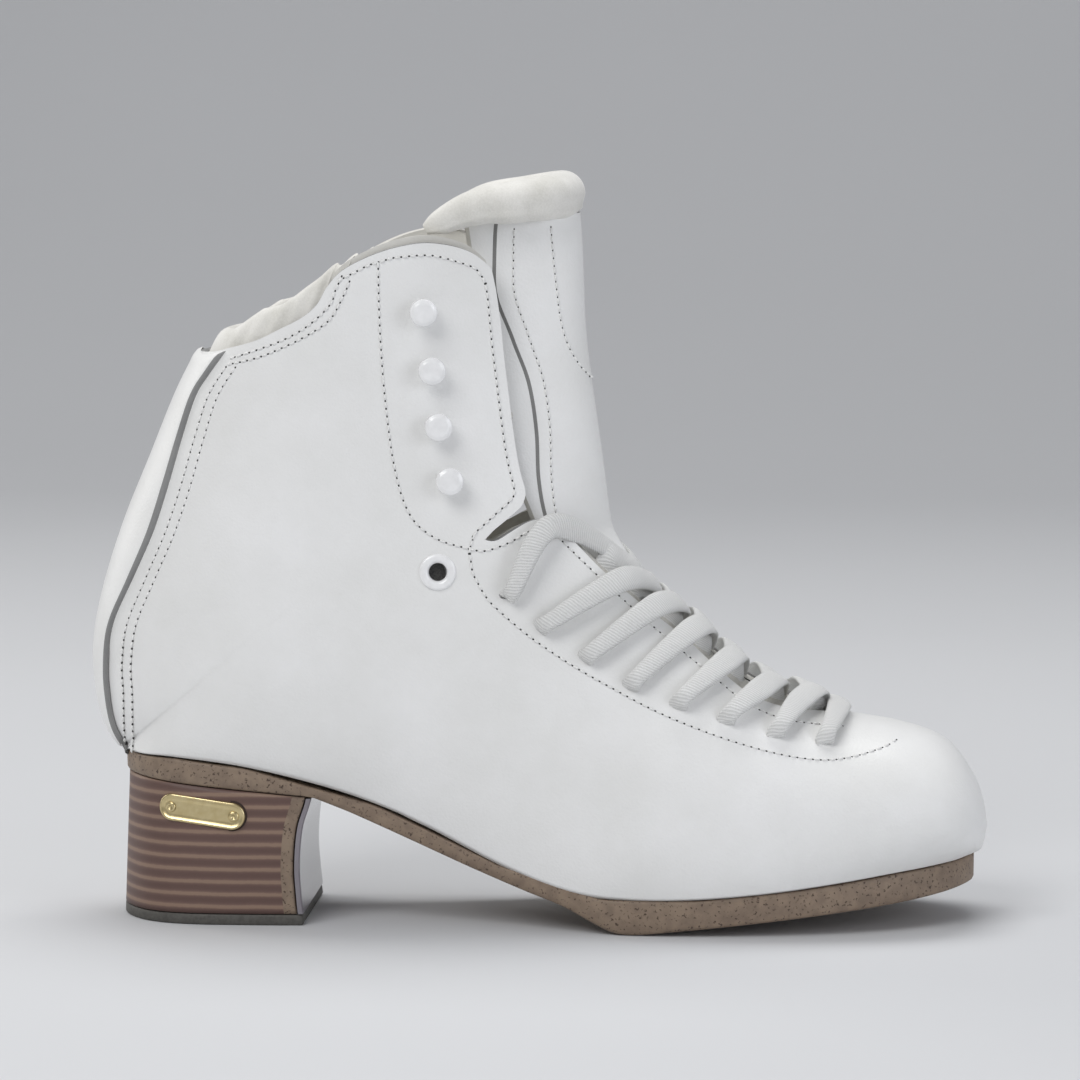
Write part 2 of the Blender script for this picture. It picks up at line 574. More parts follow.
# ---- Upper ------------------------------------------------------------------------------------
# One pattern of smooth white leather over the last, open in front, with punched lace holes. The
# part ahead of each ankle fold belongs to a hook flap and turns with it.
HOLE_RADIUS, VENT_RADIUS = 2.1, 3.9
TOP_EDGE = [[-14, 167.5], [1, 168.8], [8, 170.6], [16, 173], [23, 176.4], [30, 180], [34.6, 184],
            [37.5, 189], [42, 193.8], [50, 198], [58, 200.6], [66, 201.8], [74, 200.8], [80, 198.4],
            [84.8, 194.2]]
FLAP_FRONT = [[86, 188], [87.2, 179], [88.4, 167], [91.2, 145], [93, 135], [94.6, 129], [93.6, 125],
              [90, 121.6], [85.6, 118]]
VENT_PLACE = [69.5, 106]
FOLD_FOOT = [81.7, 114.4]
FOLD_OUT = np.array([0.861, 0.509])
FOLD_ALONG = np.array([-0.509, 0.861])
PLANE = np.array([12.0, 110.0])
EASED_AT_TOE, EASED_AT_HEEL = 2.5, 0.6


def inside(points, polygon):
    """Even-odd test of points against one polygon."""
    x, y = points[:, None, 0], points[:, None, 1]
    a = np.asarray(polygon)
    b = np.roll(a, -1, axis=0)
    rise = np.where(a[:, 1] == b[:, 1], 1e-9, b[:, 1] - a[:, 1])
    crosses = (a[:, 1] > y) != (b[:, 1] > y)
    return (crosses & (x < a[:, 0] + (y - a[:, 1]) * (b[:, 0] - a[:, 0]) / rise)).sum(1) % 2 == 1


def evenly(points, step, scale=1.0):
    """Points spaced evenly by step along a polyline, measured after scaling."""
    points = np.asarray(points, float)
    run = np.concatenate([[0], np.cumsum(np.linalg.norm(np.diff(points * scale, axis=0), axis=1))])
    at = np.linspace(0, run[-1], max(int(round(run[-1] / step)), 1) + 1)
    return np.stack([np.interp(at, run, points[:, k]) for k in range(points.shape[1])], -1)


def circle_on_last(place, side, radius, count=20):
    """Places round a circle of a radius on the surface, about a side-view point."""
    u, v = place_of(np.array(place, float))
    turn = side * v
    along_u = (on_last(u + 0.05, turn) - on_last(u - 0.05, turn)) / 0.1
    along_turn = (on_last(u, turn + 0.01) - on_last(u, turn - 0.01)) / 0.02
    frame_of = np.stack([along_u, along_turn], -1)
    first = along_u / np.linalg.norm(along_u)
    normal = np.cross(along_u, along_turn)
    second = np.cross(normal / np.linalg.norm(normal), first)
    angle = np.arange(count) * 2 * np.pi / count
    round_it = radius * (np.cos(angle)[:, None] * first + np.sin(angle)[:, None] * second)
    return np.array([u, turn]) + round_it @ np.linalg.pinv(frame_of).T


def front_and_top(rise=0.0, ahead=0.0):
    """Places of the upper's edge from the foot of the opening up to the back of the top edge."""
    top = smooth_line(TOP_EDGE, 120) + [0, rise]
    flap = smooth_line(FLAP_FRONT, 80) + [ahead, 0]
    line = np.vstack([facing[::-1], flap[::-1], top[::-1]])
    u, v = place_of(evenly(line, 1.1))
    places = np.stack([u, v], -1)
    last = places[-1]
    return np.vstack([places, np.linspace(last, [last[0] + 0.02, 1], 12)])


def pattern(border, holes):
    """Triangles of a sheet in the plane of (u, turn), cut along its border, holes and folds."""
    u, turn = np.meshgrid(np.arange(0, 27.1, 0.17), np.linspace(-1, 1, 109), indexing="ij")
    lattice = np.stack([u.ravel(), turn.ravel()], -1)
    curves, closed = [], []
    fold_top = np.array(SLOT_END) - 1.5 * FOLD_OUT + FOLD_ALONG * 100
    fold = np.stack(place_of(evenly([SLOT_END, FOLD_FOOT, fold_top], 1.5)), -1)
    for side in (-1, 1):
        mirror = np.array([1, side])
        curves += [border * mirror, fold * mirror]
        closed += [False, False]
    curves.append(np.linspace(border[0] * [1, -1], border[0], 12))
    closed.append(False)
    curves += holes
    closed += [True] * len(holes)
    points, edges = [], []
    # Lattice points within about 0.8 mm of a line are left out, so that few triangles are slivers.
    for line, loop in zip(curves, closed):
        start = sum(map(len, points))
        points.append(line)
        pairs = np.stack([np.arange(len(line)), np.arange(1, len(line) + 1)], -1) + start
        edges.append(pairs if loop else pairs[:-1])
        if loop:
            pairs[-1, 1] = start
        for chunk in np.array_split(line, max(len(line) // 60, 1)):
            low, high = (chunk * PLANE).min(0) - 2, (chunk * PLANE).max(0) + 2
            near = np.all((lattice * PLANE > low) & (lattice * PLANE < high), axis=1)
            gap = np.full(len(lattice), 9.0)
            if near.any():
                gap[near] = np.min(np.linalg.norm((lattice[near][:, None] - chunk) * PLANE, axis=2), axis=1)
            edge_on = np.abs(np.abs(lattice[:, 1]) - 1) < 1e-9
            lattice = lattice[(gap > 0.8) | edge_on]
    everything = np.vstack(points + [lattice])
    places, _, triangles, *_ = delaunay_2d_cdt([Vector(p) for p in (everything * PLANE).tolist()],
                                               np.vstack(edges).tolist(), [], 0, 1e-5)
    places = np.array([tuple(p) for p in places]) / PLANE
    triangles = np.array([t for t in triangles if len(t) == 3])
    middle = places[triangles].mean(1)
    outline = np.vstack([[[-0.1, 0]], [[border[0][0], 0]], border, [[-0.1, 1.0]]])
    kept = inside(np.stack([middle[:, 0], np.abs(middle[:, 1])], -1), outline)
    for hole_line in holes:
        kept &= ~inside(middle, hole_line)
    return places, triangles[kept]


def is_flap(points):
    """True for side-view points on the flap side of the ankle fold."""
    off = points - np.array(SLOT_END)
    return (off @ FOLD_OUT > -1.5) & (off @ FOLD_ALONG > -0.05 + 0.3 * np.minimum(off @ FOLD_OUT, 0))


def sheet_piece(name, places, triangles, outer, inner, materials, bulge=0.35):
    """Both faces of a sheet between two depths, with a rounded cut edge all the way round."""
    used, small = np.unique(triangles, return_inverse=True)
    triangles = small.reshape(-1, 3)
    u, turn = places[used, 0], places[used, 1]
    u = np.maximum(u, 0.02)
    top, under = on_last(u, turn, outer), on_last(u, turn, inner)
    normal = outward(u, turn, outer)
    toe = smooth_step((3.6 - u) / 1.4)
    corner = smooth_step((u - 12) / 2) * smooth_step((20 - u) / 2) * smooth_step((np.abs(turn) - 0.42) / 0.15)
    ease = np.maximum(toe, corner) * (u > 0.05) * (np.abs(turn) < 0.995)
    pairs = np.vstack([triangles[:, [0, 1]], triangles[:, [1, 2]], triangles[:, [2, 0]]])
    pairs = np.vstack([pairs, pairs[:, ::-1]])
    around = np.maximum(np.bincount(pairs[:, 0], minlength=len(used)), 1)[:, None]
    moved = top.copy()
    for _ in range(40 if ease.any() else 0):
        sums = [np.bincount(pairs[:, 0], moved[pairs[:, 1], k], len(used)) for k in range(3)]
        near = np.stack(sums, -1) / around
        moved += 0.5 * ease[:, None] * (near - moved)
    pole, ring = u < 0.06, (u >= 0.06) & (u < 0.3)
    if pole.any() and ring.any():
        moved[pole] = moved[ring].mean(0) + [0.15, 0, 0]
    shift = moved - top
    far = np.linalg.norm(shift, axis=1, keepdims=True)
    at_toe = shift * np.minimum(1, EASED_AT_TOE / np.maximum(far, 1e-6))
    at_heel = normal * np.clip(np.sum(shift * normal, 1, keepdims=True), -0.5 * EASED_AT_HEEL, EASED_AT_HEEL)
    shift = np.where(toe[:, None] > 0, at_toe, at_heel)
    top, under = top + shift, under + shift
    a, b, c = (top[triangles[:, k]] for k in range(3))
    square = np.cross(b - a, c - a)
    flipped = np.sum(square * normal[triangles[:, 0]], 1) < 0
    triangles[flipped] = triangles[flipped][:, ::-1]
    square[flipped] *= -1
    sums = [np.bincount(triangles.ravel(), np.repeat(square[:, k], 3), len(used)) for k in range(3)]
    round_normal = np.stack(sums, -1)
    round_normal /= np.linalg.norm(round_normal, axis=1, keepdims=True) + 1e-12
    normal = normal + ease[:, None] * (round_normal - normal)
    normal /= np.linalg.norm(normal, axis=1, keepdims=True) + 1e-12
    triangles = triangles[np.linalg.norm(square, axis=1) > 1e-5]
    sides = np.vstack([triangles[:, [0, 1]], triangles[:, [1, 2]], triangles[:, [2, 0]]])
    key = np.sort(sides, 1) @ [1, len(used)]
    _, first, times = np.unique(key, return_index=True, return_counts=True)
    rim = sides[first[times == 1]]
    here = top[rim].mean(1)
    seam = np.all(np.abs(np.abs(turn[rim]) - 1) < 1e-6, axis=1) | np.all(u[rim] < 0.05, axis=1)
    # Cuts along the back seam and the folds get no rounded edge, so that the two sides meet.
    fold_gap = np.abs((here[:, [0, 2]] - SLOT_END) @ FOLD_OUT + 1.5) < 0.06
    from_slot = here[:, [0, 2]] - SLOT_END
    short_gap = (np.abs(from_slot @ [-0.52, 0.85]) < 0.25) & (np.hypot(*from_slot.T) < 1.8)
    rim = rim[~(seam | fold_gap | short_gap)]
    out = np.cross(top[rim[:, 1]] - top[rim[:, 0]], normal[rim[:, 0]])
    away = np.zeros_like(top)
    np.add.at(away, rim[:, 0], out)
    np.add.at(away, rim[:, 1], out)
    away /= np.linalg.norm(away, axis=1, keepdims=True) + 1e-12
    count = len(used)
    share = np.array([0, 0.12, 0.5, 0.88, 1.0])
    swell = bulge * np.sin(np.pi * share)
    rim_points = np.concatenate([top + (under - top) * s + away * w for s, w in zip(share, swell)])
    tilt = np.array([0.8, 0.45, 0, -0.45, -0.8])
    rim_normals = np.concatenate([away * np.sqrt(1 - t * t) + normal * t for t in tilt])
    strips = []
    for k in range(4):
        p, q = rim[:, 0] + (2 + k) * count, rim[:, 1] + (2 + k) * count
        strips += [np.stack([p, p + count, q], -1), np.stack([q, p + count, q + count], -1)]
    faces = np.vstack([triangles, triangles[:, ::-1] + count] + strips)
    points = np.vstack([top, under, rim_points])
    normals = np.vstack([normal, -outward(u, turn, inner), rim_normals])
    kind = np.concatenate([np.zeros(len(triangles), int), np.ones(len(triangles), int),
                           np.full(8 * len(rim), 2)])
    live, again = np.unique(faces, return_inverse=True)
    made = mesh_piece(name, points[live], again.reshape(-1, 3), materials)
    made.data.polygons.foreach_set("material_index", kind.astype(np.int32))
    made.data.normals_split_custom_set_from_vertices(normals[live].tolist())
    return made


def fold_with(made):
    """Lets a piece of a flap bend out of the boot over 10 mm ahead of the ankle fold."""
    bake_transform(made)


def leather_look(name, dark, pale, grain, roughness, depth=0.00012, crease=0.0):
    """Leather: fine pebbled grain, faint cloudiness and slight wrinkles in one bump."""
    made, tree, bsdf = new_material(name, Coat_Weight=0.06, Coat_Roughness=0.35, Specular_IOR_Level=0.45)
    where = add(tree, "ShaderNodeTexCoord").outputs["Object"]
    pebble = add(tree, "ShaderNodeTexVoronoi", {"feature": "SMOOTH_F1"}, Vector=where, Scale=grain,
                 Smoothness=0.6)
    cloud = add(tree, "ShaderNodeTexNoise", Vector=where, Scale=28.0, Detail=5.0, Roughness=0.6)
    fine = add(tree, "ShaderNodeTexNoise", Vector=where, Scale=grain * 2.2, Detail=3.0)
    height = add(tree, "ShaderNodeMath", {"operation": "MULTIPLY_ADD"}, _0=fine.outputs[0], _1=0.5,
                 _2=pebble.outputs[0])
    wrinkle = add(tree, "ShaderNodeMath", {"operation": "MULTIPLY_ADD"}, _0=cloud.outputs[0], _1=crease,
                  _2=height.outputs[0])
    bump = add(tree, "ShaderNodeBump", Strength=0.35, Distance=depth, Height=wrinkle.outputs[0])
    tree.links.new(bump.outputs[0], bsdf.inputs["Normal"])
    tree.links.new(add(tree, "ShaderNodeValToRGB", stops=[(0.35, dark), (0.65, pale)],
                       _0=cloud.outputs[0]).outputs[0], bsdf.inputs["Base Color"])
    rough = add(tree, "ShaderNodeMapRange", Value=cloud.outputs[0], _3=roughness - 0.05, _4=roughness + 0.07)
    tree.links.new(rough.outputs[0], bsdf.inputs["Roughness"])
    return made


# Satin full-grain cowhide, its grey split side, and the grey inked cut edge.
white_leather = leather_look("white_fullgrain_leather", "#E9E9E7", "#F0F0EF", 1300.0, 0.40, 0.00015, 1.2)
flesh_side = leather_look("split_leather", "#A9A8A6", "#B8B7B4", 700.0, 0.8)
cut_edge = leather_look("inked_leather_edge", "#7F7F7F", "#939392", 900.0, 0.6)
lining_leather = leather_look("lining_leather", "#D5D3CC", "#E0DED8", 900.0, 0.62)

holes = [circle_on_last(place, side, HOLE_RADIUS) for place in HOLES for side in (-1, 1)]
holes += [circle_on_last(VENT_PLACE, side, VENT_RADIUS, 28) for side in (-1, 1)]
places, triangles = pattern(front_and_top(), holes)
middle = places[triangles].mean(1)
flap = is_flap(on_last(middle[:, 0], middle[:, 1])[:, [0, 2]])
skins = (white_leather, flesh_side, cut_edge)
upper = sheet_piece("upper_leather", places, triangles[~flap], 0.0, LEATHER, skins)
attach(upper, "boot")
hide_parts("upper_shell")
for side, name in ((-1, "outer"), (1, "inner")):
    own = triangles[flap & (middle[:, 1] * side > 0)]
    flap_piece = sheet_piece(f"flap_skin_{name}", places, own, 0.0, LEATHER, skins)
    fold_with(flap_piece)
    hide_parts(f"flap_leather_{name}")

# ---- Lining and collar --------------------------------------------------------------------------
# Off-white lining leather inside the upper, standing 2.5 mm above it, and a crowned suede cushion
# round the back of the leg opening.
LINING = 2.5, 6.1
places, triangles = pattern(front_and_top(rise=2.5, ahead=1.2), holes)
middle = places[triangles].mean(1)
flap = is_flap(on_last(middle[:, 0], middle[:, 1])[:, [0, 2]])
lining = sheet_piece("quarter_lining_skin", places, triangles[~flap], *LINING, lining_leather, 0.2)
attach(lining, "boot")
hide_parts("quarter_lining")
for side, name in ((-1, "outer"), (1, "inner")):
    own = triangles[flap & (middle[:, 1] * side > 0)]
    inner_skin = sheet_piece(f"flap_lining_skin_{name}", places, own, *LINING, lining_leather, 0.2)
    fold_with(inner_skin)
    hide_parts(f"flap_lining_{name}", f"flap_backing_{name}")

# Brushed suede: a matt nap of short fibres, cloudy where it lies different ways.
suede, tree, bsdf = new_material("brushed_suede", Roughness=0.95, Sheen_Weight=0.5, Sheen_Roughness=0.6)
where = add(tree, "ShaderNodeTexCoord").outputs["Object"]
nap = add(tree, "ShaderNodeTexNoise", Vector=where, Scale=1600.0, Detail=4.0, Roughness=0.7)
blotch = add(tree, "ShaderNodeTexNoise", Vector=where, Scale=90.0, Detail=4.0)
mixed = add(tree, "ShaderNodeMath", {"operation": "MULTIPLY_ADD"}, _0=nap.outputs[0], _1=0.6,
            _2=blotch.outputs[0])
tree.links.new(add(tree, "ShaderNodeValToRGB", stops=[(0.55, "#D3D1C9"), (0.95, "#E9E7E1")],
                   _0=mixed.outputs[0]).outputs[0], bsdf.inputs["Base Color"])
bump = add(tree, "ShaderNodeBump", Strength=0.5, Distance=0.0003, Height=mixed.outputs[0])
tree.links.new(bump.outputs[0], bsdf.inputs["Normal"])

COLLAR_TOP = [[1, 173.3], [5.5, 176.9], [14.2, 179], [20.8, 182], [28.3, 186.5], [34.3, 190.4],
              [39.9, 194.6], [43.5, 197.4]]
collar_edge = smooth_line([[-14, 167.5]] + TOP_EDGE[1:9] + [[43.5, 194.8]], 90)
collar_edge = evenly(collar_edge, 1.0)
edge_u, edge_v = place_of(collar_edge)
inner_part = edge_v < 0.985
collar_edge, edge_u, edge_v = collar_edge[inner_part], edge_u[inner_part], edge_v[inner_part]
collar_edge = np.vstack([collar_edge[:1] - [2, 0.3], collar_edge])
edge_u, edge_v = np.append(edge_u[0], edge_u), np.append(1.0, edge_v)
edge_rise = np.interp(collar_edge[:, 0], *np.transpose(COLLAR_TOP)) - collar_edge[:, 1]
edge_rise = np.where(collar_edge[:, 0] < 5, 5.0, edge_rise)
edge_rise = np.convolve(np.pad(np.clip(edge_rise * 1.6, 1.5, 11.5), 4, "edge"), np.ones(9) / 9, "valid")
PAD_DEPTH = np.array([2.5, 2.3, 2.2, 2.5, 3.6, 5.4, 7.2, 8.6, 9.6, 10.4, 10.6, 10.4, 9.8, 8.8, 7.6, 6.6, 6.0])
PAD_SHARE = np.array([-1.2, -0.4, 0.35, 0.72, 0.93, 1.0, 0.96, 0.8, 0.5, 0, -0.6, -1.4, -2.3, -3.1, -3.7,
                      -4.1, -4.3])
pad_u = np.concatenate([edge_u[:0:-1], edge_u])
pad_turn = np.concatenate([-edge_v[:0:-1], edge_v[:1], edge_v[1:]])
pad_rise = np.concatenate([edge_rise[:0:-1], edge_rise])
knot_length = np.linalg.norm(on_last(pad_u + 0.2, pad_turn) - on_last(pad_u - 0.2, pad_turn), axis=1) / 0.4
ends = smooth_step(np.minimum(np.arange(len(pad_u)), np.arange(len(pad_u))[::-1]) / 9)
high = np.where(PAD_SHARE > 0, PAD_SHARE * pad_rise[:, None], PAD_SHARE * 6.2)
depth = 6.0 + (PAD_DEPTH - 6.0) * (0.3 + 0.7 * ends[:, None])
depth = np.where(PAD_SHARE > -1.3, np.where(np.arange(17) < 4, PAD_DEPTH, depth), depth)
pucker = 0.25 * np.sin(np.arange(len(pad_u)) * 0.9)[:, None] * np.exp(-((PAD_SHARE - 0.2) / 0.6) ** 2)
u_at = pad_u[:, None] + high / knot_length[:, None]
pad_points = on_last(u_at, np.broadcast_to(pad_turn[:, None], u_at.shape), depth + pucker)
collar = mesh_piece("collar_cushion", pad_points.reshape(-1, 3), grid_faces(len(pad_u), 17), suede)
collar_thick = collar.modifiers.new("smooth", "SUBSURF")
collar_thick.levels = collar_thick.render_levels = 1
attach(collar, "boot")
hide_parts("collar_padding")

# ---- Backstay ---------------------------------------------------------------------------------
# A strip of the same leather over the back seam, from the sole up to the top edge. Its cut edges
# are inked grey, it stands 1.5 mm off the upper, and two rows of stitches run ahead of it.
BACKSTAY_EDGE = [[-24, 47], [-28.6, 56], [-30.2, 66], [-30.4, 76], [-28.6, 88], [-22, 102], [-15.6, 116],
                 [-11, 130], [-7, 144], [-3, 156], [1.6, 163], [6.6, 169.6]]
strip_u, strip_v = place_of(evenly(smooth_line(BACKSTAY_EDGE, 100), 1.4))
order = np.argsort(strip_u)
strip_u, strip_v = strip_u[order], strip_v[order]
share = np.concatenate([np.linspace(0, 0.02, 4), np.linspace(0.05, 0.98, 17), [1.0]])
share = np.concatenate([share - 1, (1 - share)[-2::-1]])
round_off = 1.6 * np.sqrt(np.clip(1 - np.clip((np.abs(share) - 0.96) / 0.04, 0, 1) ** 2, 0, 1))
strip_side = np.where(share[None] <= 0, -1, 1)
strip_turn = strip_side * (strip_v[:, None] + (1 - strip_v[:, None]) * (1 - np.abs(share[None])))
lift_top = 0.36 * smooth_step((strip_u - strip_u[-1] + 2.5) / 2.5)
strip_at = strip_u[:, None] + lift_top[:, None] * (1 - np.abs(share[None]))
taper = smooth_step((strip_u[-1] - strip_u) / 0.12 + 0.15)[:, None]
strip_height = (round_off * taper - 0.1)[..., None]
strip_points = on_last(strip_at, strip_turn) + outward(strip_at, strip_turn) * strip_height
strip_faces = grid_faces(len(strip_u), len(share))
backstay = mesh_piece("backstay_strip", strip_points.reshape(-1, 3), strip_faces, (white_leather, cut_edge))
edge_column = np.tile(np.abs((share[:-1] + share[1:]) / 2) > 0.94, len(strip_u) - 1)
backstay.data.polygons.foreach_set("material_index", edge_column.astype(np.int32))
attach(backstay, "boot")
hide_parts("backstay")

# ---- Stitches -----------------------------------------------------------------------------------
# Rows of lock stitches: a pale thread every 2.3 mm, dipping into a dark needle hole at each end.
# Each row is given by its line in side view and sewn on both sides.
TOP_REAR_UPPER = [[8.5, 167.6], [16.4, 170.3], [25, 173.7], [32.1, 177.9], [38.1, 183.5], [39.6, 187],
                  [41.4, 191.1]]
TOP_REAR_LOWER = [[7.9, 165.8], [16.4, 168], [24.7, 171.4], [31.8, 175], [38.1, 179.4], [41.9, 185.6],
                  [43.7, 189.6]]
FLAP_TOP = [[41.4, 191.1], [45.8, 193.4], [49.3, 195.2], [53.6, 196.6], [57.7, 197.6], [67.4, 198.2],
            [75.9, 196], [80.1, 194.2], [82.6, 190.8]]
FRONT = [[82.6, 190.8], [83.5, 186.7], [84.3, 178], [85.3, 168], [88.2, 145], [89.8, 136.2], [91.4, 129],
         [89.5, 125.8], [86.5, 123], [83.7, 120.4], [81.1, 118.1], [79.7, 115.8], [78.8, 112.4]]
REAR = [[52.5, 195.5], [52.8, 176.5], [54.2, 156.1], [57, 135.7], [61.4, 122.6], [68.7, 115.9], [77.4, 113]]
EYE_IN = [[77.4, 113], [82.6, 112.1], [89.2, 114], [95.8, 117.5], [99, 118.6], [102, 117.6], [107, 112.8],
          [112.5, 107.4], [121.3, 99], [133, 88.4], [140.7, 82], [150.1, 74.4], [160, 67], [170, 62.6],
          [178, 60.8], [186.5, 59.4]]
EYE_OUT = [[78.8, 112.4], [79.5, 106.6], [81.2, 102.8], [83, 99.6], [85.6, 96.4], [91.7, 90.9],
           [98.5, 85.6], [109, 78.7], [120.4, 72.4], [131.9, 66.6], [143.3, 61.9], [154.6, 57.8],
           [166.8, 54.2], [175.8, 52.3], [183.4, 51.5], [190.3, 52], [196.1, 53.2], [200.5, 54.4],
           [202.6, 55.3]]
BACK_NEAR = [[-26.4, 50], [-25.6, 66], [-25.8, 76], [-24, 88], [-18, 102], [-11.8, 116], [-7, 130],
             [-3, 144], [1, 156], [6, 164]]
BACK_FAR = [[x + 3.0, z] for x, z in BACK_NEAR]


STITCH = 2.3
THREAD_BEAD = [[-0.88, 0.02, -0.25], [-0.84, 0.2, -0.12], [-0.5, 0.34, 0.1], [0, 0.36, 0.16],
               [0.5, 0.34, 0.1], [0.84, 0.2, -0.12], [0.88, 0.02, -0.25]]
HOLE_BEAD = [[-0.36, 0.02, -0.2], [-0.34, 0.2, -0.2], [0, 0.34, -0.2], [0.34, 0.2, -0.2], [0.36, 0.02, -0.2]]


def sewn(name, at, ahead, up):
    """Threads at points and needle holes half a stitch on: each bead is rings of seven points, given
    by their place along the row, radius and height, about the unit vectors ahead, across and up."""
    angle = np.arange(7) * 2 * np.pi / 7
    wide = np.cross(up, ahead)
    ring = wide[:, None, None] * np.cos(angle)[:, None] + up[:, None, None] * np.sin(angle)[:, None]
    pieces = []
    for part, offset, bead, material in (("thread", 0, THREAD_BEAD, thread),
                                         ("holes", STITCH / 2, HOLE_BEAD, needle_hole)):
        along, size, rise = (column[:, None, None] for column in np.array(bead).T)
        middle = (at + ahead * offset)[:, None, None] + ahead[:, None, None] * along
        points = middle + ring * size + up[:, None, None] * rise
        start = np.arange(len(at)) * len(bead) * len(angle)
        faces = grid_faces(len(bead), len(angle), around=True)[None] + start[:, None, None]
        pieces.append(mesh_piece(f"{name}_{part}", points.reshape(-1, 3), faces.reshape(-1, 4), material))
    return pieces


def stitches(name, rows, side, height, body):
    """Several rows on one side, a stitch every STITCH mm along each line, at a height over the leather."""
    at, ahead, up = [], [], []
    for row in rows:
        line = evenly(through(row, np.linspace(0, len(row) - 1, 30 * len(row))), STITCH)
        points, normal = over_side(line[:, 0], line[:, 1], side, np.full(len(line), height))
        at.append(points)
        up.append(normal)
        ahead.append(np.gradient(points, axis=0))
    at, ahead, up = map(np.vstack, (at, ahead, up))
    ahead /= np.linalg.norm(ahead, axis=1, keepdims=True)
    for made in sewn(name, at, ahead, up):
        if body == "boot":
            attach(made, "boot")
        else:
            fold_with(made)


# Bonded nylon thread: smooth, with a slight sheen and a twist too fine to follow.
thread, tree, bsdf = new_material("bonded_nylon_thread", Roughness=0.5, Sheen_Weight=0.15)
where = add(tree, "ShaderNodeTexCoord").outputs["Object"]
twist = add(tree, "ShaderNodeTexNoise", Vector=where, Scale=2500.0, Detail=2.0)
tree.links.new(add(tree, "ShaderNodeValToRGB", stops=[(0.3, "#E4E4E2"), (0.7, "#F4F4F2")],
                   _0=twist.outputs[0]).outputs[0], bsdf.inputs["Base Color"])
# The shade inside a needle hole: dark and without shine.
needle_hole, tree, bsdf = new_material("needle_hole_shade", Roughness=0.9)
where = add(tree, "ShaderNodeTexCoord").outputs["Object"]
dust = add(tree, "ShaderNodeTexNoise", Vector=where, Scale=2000.0, Detail=2.0)
tree.links.new(add(tree, "ShaderNodeValToRGB", stops=[(0.3, "#2C2B2A"), (0.7, "#4A4947")],
                   _0=dust.outputs[0]).outputs[0], bsdf.inputs["Base Color"])


def split(row, flap_part):
    """Longest run of a row on one side of the ankle fold."""
    line = evenly(through(row, np.linspace(0, len(row) - 1, 30 * len(row))), 1.0)
    return line[is_flap(line) == flap_part]


for side, name in ((-1, "outer"), (1, "inner")):
    body = f"flap_{name}"
    flap_rows = [split(FLAP_TOP, True), split(FRONT, True), split(REAR, True)]
    stitches(f"flap_stitch_{name}", flap_rows, side, 0.05, body)
    boot_rows = [TOP_REAR_UPPER, TOP_REAR_LOWER, split(REAR, False), split(FRONT, False), EYE_IN, EYE_OUT]
    stitches(f"quarter_stitch_{name}", boot_rows, side, 0.05, "boot")
    stitches(f"backstay_stitch_{name}", [BACK_NEAR, BACK_FAR], side, 0.05, "boot")

# ---- Hooks and vents ----------------------------------------------------------------------------
# White enamelled steel lacing studs, four a side, riveted through the flaps, and the enamelled
# grommet that is pressed into the vent hole below them, with a dark screen inside it.
HOOKS = [[65, 182], [67.3, 164.8], [69.2, 148.3], [72.6, 132.3]]


def lathe(name, profile, place, side, material, sides=40):
    """Round part turned from (radius, height) pairs, standing on the leather over a side-view point."""
    profile = np.asarray(profile, float)
    middle, normal = over_side(np.array(float(place[0])), np.array(float(place[1])), side)
    first = np.cross(normal, [0, 0, 1.0])
    first /= np.linalg.norm(first)
    second = np.cross(normal, first)
    angle = np.arange(sides) * 2 * np.pi / sides
    ring = np.cos(angle)[:, None] * first + np.sin(angle)[:, None] * second
    points = middle + profile[:, None, :1] * ring[None] + profile[:, None, 1:] * normal
    return mesh_piece(name, points.reshape(-1, 3), grid_faces(len(profile), sides, around=True), material)


# Baked white enamel on steel: a hard gloss with the faintest orange peel.
enamel, tree, bsdf = new_material("white_enamel", Roughness=0.16, Coat_Weight=0.6, Coat_Roughness=0.08)
where = add(tree, "ShaderNodeTexCoord").outputs["Object"]
peel = add(tree, "ShaderNodeTexNoise", Vector=where, Scale=420.0, Detail=2.0)
tree.links.new(add(tree, "ShaderNodeValToRGB", stops=[(0.3, "#EFEFEF"), (0.7, "#F7F7F7")],
                   _0=peel.outputs[0]).outputs[0], bsdf.inputs["Base Color"])
bump = add(tree, "ShaderNodeBump", Strength=0.08, Distance=0.0002, Height=peel.outputs[0])
tree.links.new(bump.outputs[0], bsdf.inputs["Normal"])

STUD = [[0.01, 5.55], [1.6, 5.53], [2.7, 5.46], [3.2, 5.3], [3.42, 5.12], [3.62, 5.1], [3.86, 4.95],
        [4, 4.6], [4.02, 3.9], [3.95, 3.3], [3.7, 3.02], [2.6, 2.9], [1.95, 2.7], [1.9, 2.2], [1.95, 1.0],
        [2.2, 0.75], [3.3, 0.7], [3.55, 0.5], [3.6, 0.0], [3.6, -0.3]]
GROMMET = [[2.55, -2.6], [2.6, -0.6], [2.75, 0.1], [3.1, 0.5], [3.6, 0.72], [4.4, 0.78], [5.0, 0.66],
           [5.3, 0.35], [5.4, 0.05], [5.4, -0.3]]
for side, name in ((-1, "outer"), (1, "inner")):
    for number, place in enumerate(HOOKS, 1):
        stud = lathe(f"stud_{name}_{number}", STUD, place, side, enamel)
        if number <= 2:
            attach(stud, f"flap_{name}")
        else:
            fold_with(stud)
        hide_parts(f"hook_{name}_{number}")
    grommet = lathe(f"vent_ring_{name}", GROMMET, VENT_PLACE, side, enamel, 56)
    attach(grommet, "boot")
    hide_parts(f"vent_grommet_{name}")
    screen = lathe(f"vent_shade_{name}", [[0.01, -2.2], [1.4, -2.2], [2.7, -2.3]], VENT_PLACE, side,
                   needle_hole)
    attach(screen, "boot")

